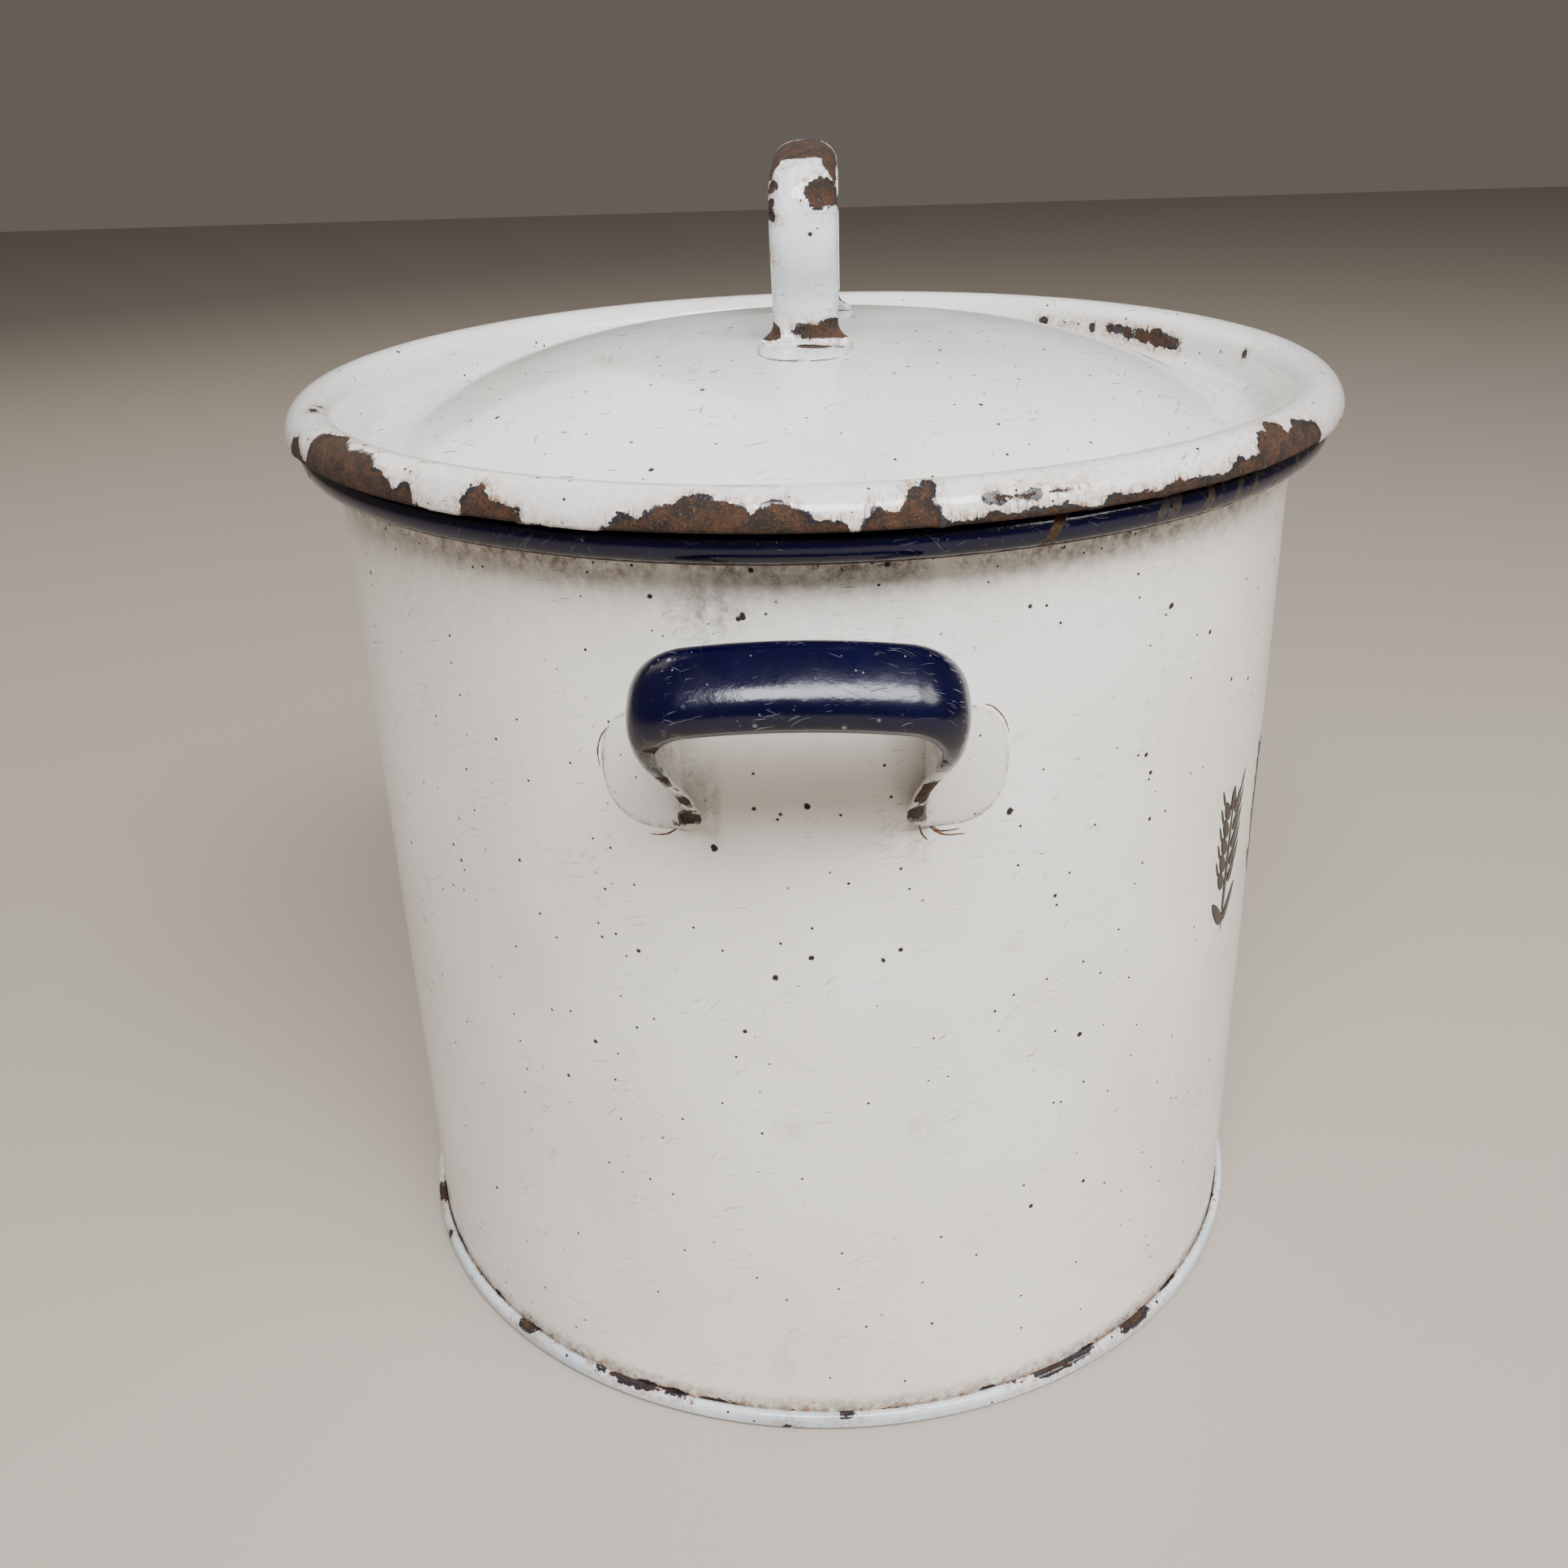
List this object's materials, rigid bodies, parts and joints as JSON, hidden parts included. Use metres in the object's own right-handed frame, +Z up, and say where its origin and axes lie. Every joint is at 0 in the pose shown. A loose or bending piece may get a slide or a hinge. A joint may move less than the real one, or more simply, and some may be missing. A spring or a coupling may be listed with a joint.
{
  "type": "lidded flour bin",
  "caption": "Round enamelled steel kitchen bin with a rolled rim, a folded base ring, tilted loop side handles and a loose domed lid with a loop handle.",
  "frame": {"origin": "centre of the foot ring on the ground, on the bin's own axis", "axes": "+Z up along the bin's axis; +X through the right side handle; -Y is the front, between the side handles"},
  "size_m": [0.2968, 0.2508, 0.282],
  "materials": {
    "white_enamel": "glossy vitreous enamel with chips worn to rusty steel",
    "blue_enamel": "glossy dark cobalt vitreous enamel with fine scuffs",
    "wire_steel": "plain drawn wire, hidden in the rolled rim"
  },
  "bodies": {
    "bin": {"body_wall": "white_enamel", "rim_wire": "wire_steel", "base_pan": "white_enamel", "side_handle_left": "blue_enamel", "side_handle_right": "blue_enamel"},
    "lid": {"lid_shell": "white_enamel", "lid_handle": "white_enamel"}
  },
  "joints": [
    {"name": "lid_lift", "type": "slide", "parent": "bin", "child": "lid", "axis": [0, 0, 1], "range_m": [0, 0.15]}
  ]
}
